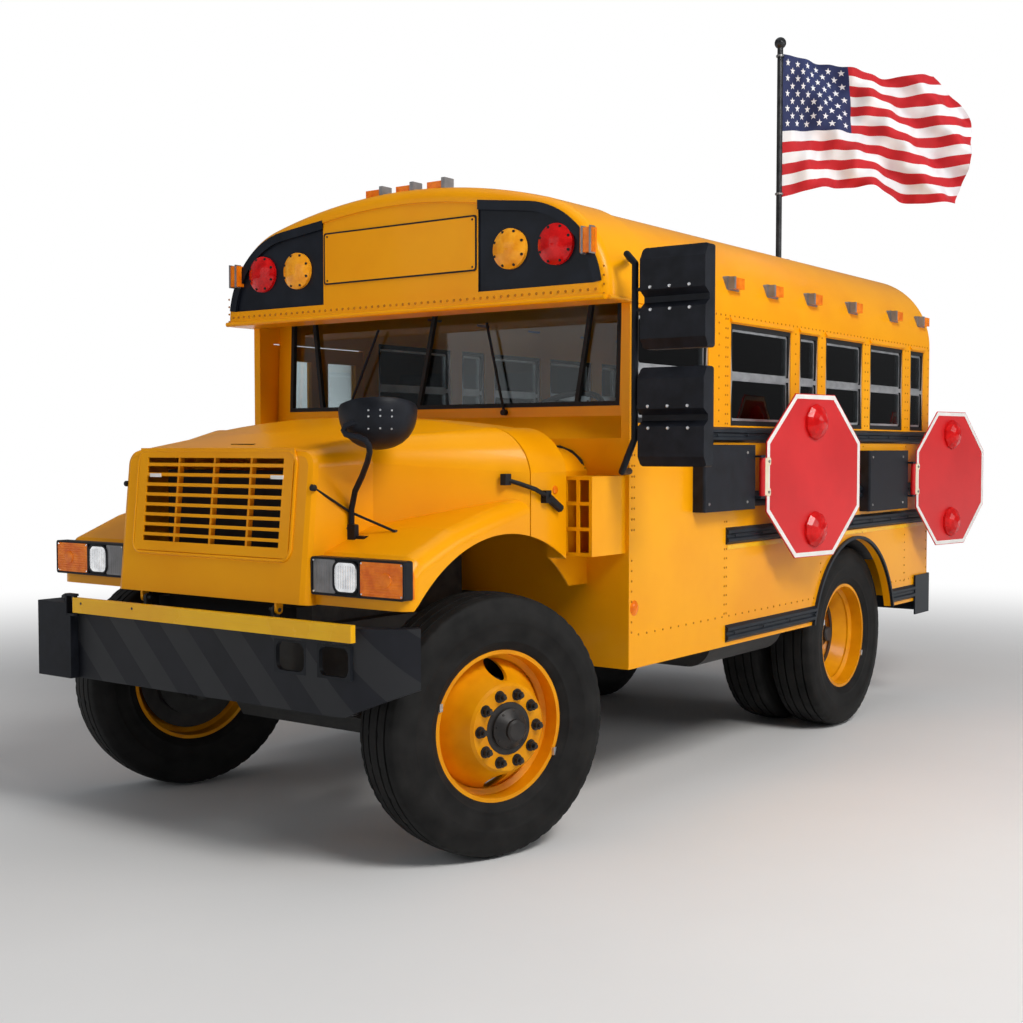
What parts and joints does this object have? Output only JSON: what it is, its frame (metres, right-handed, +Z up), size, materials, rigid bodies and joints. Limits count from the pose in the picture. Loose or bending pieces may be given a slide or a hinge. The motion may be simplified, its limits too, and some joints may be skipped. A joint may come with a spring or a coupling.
{
  "type": "school bus",
  "caption": "Short yellow conventional school bus with a forward-tilting hood, hollow cabin, steered front wheels, twin rear wheels, swinging stop arms and a roof flag.",
  "frame": {"origin": "middle of the whole bus at ground level", "axes": "+X is the bus's left, the front faces -Y, +Z is up"},
  "size_m": [2.9867, 5.7988, 4.4079],
  "materials": {
    "body_yellow": "glossy paint",
    "trim_black": "satin paint",
    "arm_yellow": "glossy",
    "window_trim": "satin black frames and rubber seals",
    "chassis_black": "satin paint",
    "engine_iron": "cast",
    "radiator_metal": "fine finned",
    "tyre": "moulded rubber",
    "wheel_yellow": "glossy paint",
    "glass": "clear, slightly dark",
    "lamp_clear": "clear lens over a bright reflector",
    "lamp_orange": "moulded lens",
    "lamp_red": "moulded lens",
    "sign_red": "reflective sheet",
    "seat_vinyl": "vinyl",
    "dark_fittings": "moulded",
    "floor_grey": "ribbed mat",
    "pole_metal": "brushed",
    "flag_cloth": "woven cloth"
  },
  "bodies": {
    "body": {"amber_lamps": "lamp_orange", "arm_boxes": "trim_black", "cowl": "body_yellow", "drive_line": "chassis_black", "engine": "engine_iron", "flag": "flag_cloth", "flag_pole": "pole_metal", "floor": "floor_grey", "frame": "chassis_black", "front_axle": "chassis_black", "front_bumper": "trim_black", "front_cap": "body_yellow", "front_wall": "body_yellow", "interior_fittings": "dark_fittings", "leaf_springs": "chassis_black", "left_wall": "body_yellow", "radiator": "radiator_metal", "rear_axle": "chassis_black", "rear_bumper": "trim_black", "rear_wall": "body_yellow", "red_lamps": "lamp_red", "right_wall": "body_yellow", "roof": "body_yellow", "rub_rails": "trim_black", "seats": "seat_vinyl", "side_mirrors": "trim_black", "tank_and_exhaust": "chassis_black", "window_frames": "window_trim", "window_glass": "glass"},
    "left_knuckle": {"left_knuckle": "chassis_black"},
    "right_knuckle": {"right_knuckle": "chassis_black"},
    "front_left_wheel": {"front_left_tyre": "tyre", "front_left_wheel": "wheel_yellow"},
    "front_right_wheel": {"front_right_tyre": "tyre", "front_right_wheel": "wheel_yellow"},
    "rear_left_wheels": {"rear_left_tyres": "tyre", "rear_left_wheels": "wheel_yellow"},
    "rear_right_wheels": {"rear_right_tyres": "tyre", "rear_right_wheels": "wheel_yellow"},
    "hood": {"hood": "body_yellow", "grille": "body_yellow", "headlights": "lamp_clear", "turn_signals": "lamp_orange", "cross_mirrors": "trim_black"},
    "front_door_leaf": {"front_door_leaf": "body_yellow", "front_leaf_glass": "glass"},
    "rear_door_leaf": {"rear_door_leaf": "body_yellow", "rear_leaf_glass": "glass"},
    "emergency_door": {"emergency_door": "body_yellow", "emergency_door_glass": "glass"},
    "front_stop_sign": {"front_stop_sign": "sign_red"},
    "rear_stop_sign": {"rear_stop_sign": "sign_red"},
    "crossing_arm": {"crossing_arm": "arm_yellow"}
  },
  "joints": [
    {"name": "left_steer", "type": "hinge", "parent": "body", "child": "left_knuckle", "pos_m": [0.60238, -2.09736, 0.552], "axis": [0, 0, 1], "range_deg": [-18, 52]},
    {"name": "right_steer", "type": "hinge", "parent": "body", "child": "right_knuckle", "pos_m": [-1.02761, -2.09736, 0.552], "axis": [0, 0, 1], "range_deg": [-18, 52]},
    {"name": "front_left_spin", "type": "hinge", "parent": "left_knuckle", "child": "front_left_wheel", "pos_m": [0.60238, -2.09736, 0.552], "axis": [0.9563, -0.2924, 0], "continuous": true},
    {"name": "front_right_spin", "type": "hinge", "parent": "right_knuckle", "child": "front_right_wheel", "pos_m": [-1.02761, -2.09736, 0.552], "axis": [0.9563, -0.2924, 0], "continuous": true},
    {"name": "rear_left_spin", "type": "hinge", "parent": "body", "child": "rear_left_wheels", "pos_m": [0.63738, 1.32864, 0.552], "axis": [1, 0, 0], "continuous": true},
    {"name": "rear_right_spin", "type": "hinge", "parent": "body", "child": "rear_right_wheels", "pos_m": [-1.06262, 1.32864, 0.552], "axis": [1, 0, 0], "continuous": true},
    {"name": "hood_tilt", "type": "hinge", "parent": "body", "child": "hood", "pos_m": [-0.21261, -2.77736, 1.045], "axis": [1, 0, 0], "range_deg": [0, 65]},
    {"name": "front_leaf_swing", "type": "hinge", "parent": "body", "child": "front_door_leaf", "pos_m": [-1.44362, -1.24736, 1.35], "axis": [0, 0, 1], "range_deg": [0, 85]},
    {"name": "rear_leaf_swing", "type": "hinge", "parent": "body", "child": "rear_door_leaf", "pos_m": [-1.44362, -0.49736, 1.35], "axis": [0, 0, -1], "range_deg": [0, 85]},
    {"name": "emergency_door_swing", "type": "hinge", "parent": "body", "child": "emergency_door", "pos_m": [-0.67261, 2.51364, 1.7], "axis": [0, 0, 1], "range_deg": [0, 100]},
    {"name": "front_sign_swing", "type": "hinge", "parent": "body", "child": "front_stop_sign", "pos_m": [1.09238, -0.17434, 1.556], "axis": [0, 0, 1], "range_deg": [-80, 10]},
    {"name": "rear_sign_swing", "type": "hinge", "parent": "body", "child": "rear_stop_sign", "pos_m": [1.09238, 1.99872, 1.505], "axis": [0, 0, 1], "range_deg": [-80, 10]},
    {"name": "crossing_arm_swing", "type": "hinge", "parent": "body", "child": "crossing_arm", "pos_m": [-0.98262, -2.88436, 0.996], "axis": [0, 0, 1], "range_deg": [-90, 0]}
  ],
  "couplings": [
    {"joint": "right_steer", "follows": "left_steer", "ratio": 1},
    {"joint": "rear_leaf_swing", "follows": "front_leaf_swing", "ratio": 1}
  ]
}
